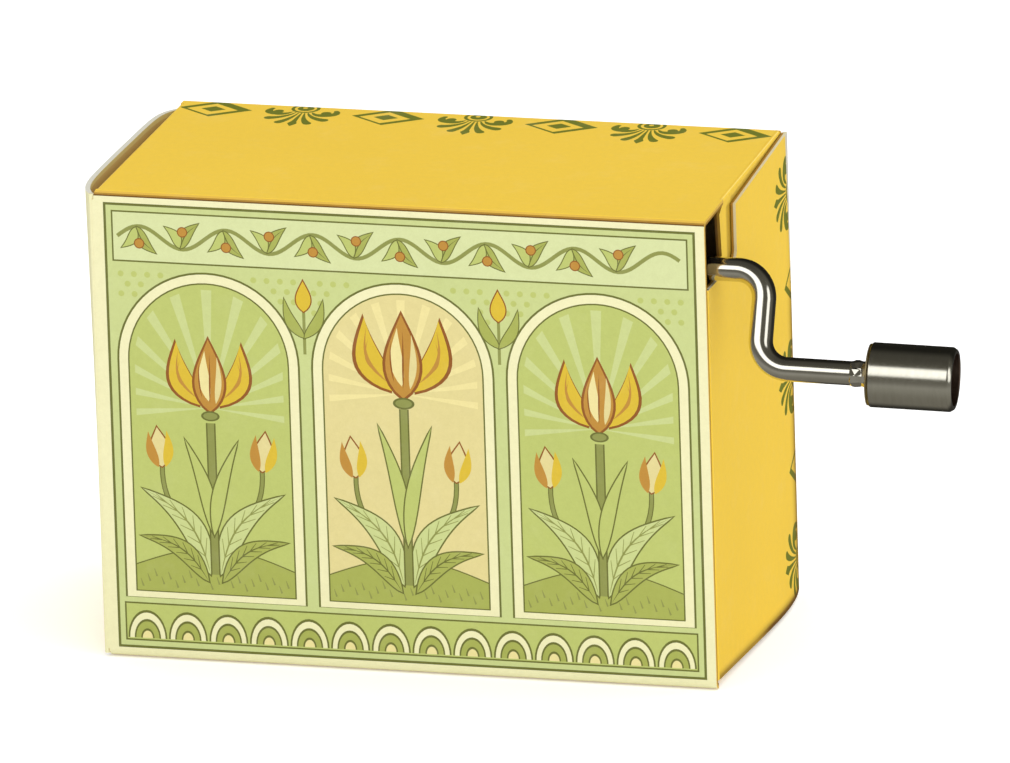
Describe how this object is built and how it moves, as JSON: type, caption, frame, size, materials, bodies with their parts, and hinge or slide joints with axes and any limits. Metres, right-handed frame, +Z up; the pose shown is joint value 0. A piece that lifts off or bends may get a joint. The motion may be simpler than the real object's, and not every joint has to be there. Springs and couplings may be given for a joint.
{
  "type": "hand-cranked music box",
  "caption": "Small folded-card carton with tuck-in end flaps that holds a pinned-drum comb movement, played by turning a bent metal crank with a free-spinning knob.",
  "frame": {"origin": "middle of the carton's underside", "axes": "+X to the crank end, the printed front faces -Y, +Z up"},
  "size_m": [0.0849, 0.0335, 0.046],
  "materials": {
    "card": "satin printed",
    "zinc": "die cast",
    "adhesive": "matte",
    "comb_steel": "ground",
    "lead": "dull",
    "nickel": "nickel plated",
    "brass": "turned",
    "steel": "drawn"
  },
  "bodies": {
    "carton": {"carton_sleeve": "card", "glue_flap": "card", "bedplate": "zinc", "adhesive_pads": "adhesive", "comb": "comb_steel", "comb_tuning_weights": "lead", "comb_screws": "nickel", "shaft_outer_bush": "brass", "shaft_inner_bush": "brass", "arbor_upper_bush": "brass", "arbor_lower_bush": "brass"},
    "crank": {"crank_rod": "nickel", "worm": "brass", "worm_pin": "steel", "shaft_clip": "steel", "knob_washer": "steel", "knob_rim_washer": "brass"},
    "knob": {"crank_knob": "nickel"},
    "drum": {"drum_shell": "brass", "drum_pins": "steel", "drum_gear": "brass", "drum_end_cap": "brass", "drum_arbor": "steel"},
    "left_end": {"left_end_panel": "card"},
    "left_tuck": {"left_tuck_flap": "card"},
    "left_upper_dust": {"left_upper_dust_flap": "card"},
    "left_lower_dust": {"left_lower_dust_flap": "card"},
    "right_end": {"right_end_panel": "card"},
    "right_tuck": {"right_tuck_flap": "card"},
    "right_upper_dust": {"right_upper_dust_flap": "card"},
    "right_lower_dust": {"right_lower_dust_flap": "card"}
  },
  "joints": [
    {"name": "crank_spin", "type": "hinge", "parent": "carton", "child": "crank", "pos_m": [0.03, -0.0121, 0.0405], "axis": [1, 0, 0], "continuous": true},
    {"name": "knob_spin", "type": "hinge", "parent": "crank", "child": "knob", "pos_m": [0.04964, -0.01463, 0.03167], "axis": [0.9962, 0.0796, -0.0354], "continuous": true},
    {"name": "drum_spin", "type": "hinge", "parent": "carton", "child": "drum", "pos_m": [0.008, -0.00405, 0.028], "axis": [0, 0, 1], "continuous": true},
    {"name": "left_panel_fold", "type": "hinge", "parent": "carton", "child": "left_end", "pos_m": [-0.02975, -0.01525, 0.023], "axis": [0, 0, 1], "range_deg": [0, 100]},
    {"name": "left_tuck_fold", "type": "hinge", "parent": "left_end", "child": "left_tuck", "pos_m": [-0.02975, 0.01435, 0.023], "axis": [0, 0, 1], "range_deg": [-35, 0]},
    {"name": "left_upper_dust_fold", "type": "hinge", "parent": "carton", "child": "left_upper_dust", "pos_m": [-0.02915, 0, 0.04575], "axis": [0, 1, 0], "range_deg": [0, 80]},
    {"name": "left_lower_dust_fold", "type": "hinge", "parent": "carton", "child": "left_lower_dust", "pos_m": [-0.02915, 0, 0.00025], "axis": [0, -1, 0], "range_deg": [0, 80]},
    {"name": "right_panel_fold", "type": "hinge", "parent": "carton", "child": "right_end", "pos_m": [0.02975, 0.01525, 0.023], "axis": [0, 0, 1], "range_deg": [0, 4]},
    {"name": "right_tuck_fold", "type": "hinge", "parent": "right_end", "child": "right_tuck", "pos_m": [0.02975, -0.01435, 0.02], "axis": [0, 0, 1], "range_deg": [-1.4, 0]},
    {"name": "right_upper_dust_fold", "type": "hinge", "parent": "carton", "child": "right_upper_dust", "pos_m": [0.02915, 0, 0.04575], "axis": [0, -1, 0], "range_deg": [0, 3.2]},
    {"name": "right_lower_dust_fold", "type": "hinge", "parent": "carton", "child": "right_lower_dust", "pos_m": [0.02915, 0, 0.00025], "axis": [0, 1, 0], "range_deg": [0, 3.2]}
  ],
  "couplings": [
    {"joint": "drum_spin", "follows": "crank_spin", "ratio": -0.041667},
    {"joint": "left_tuck_fold", "follows": "left_panel_fold", "ratio": -0.35},
    {"joint": "left_upper_dust_fold", "follows": "left_panel_fold", "ratio": 0.8},
    {"joint": "left_lower_dust_fold", "follows": "left_panel_fold", "ratio": 0.8},
    {"joint": "right_tuck_fold", "follows": "right_panel_fold", "ratio": -0.35},
    {"joint": "right_upper_dust_fold", "follows": "right_panel_fold", "ratio": 0.8},
    {"joint": "right_lower_dust_fold", "follows": "right_panel_fold", "ratio": 0.8}
  ]
}
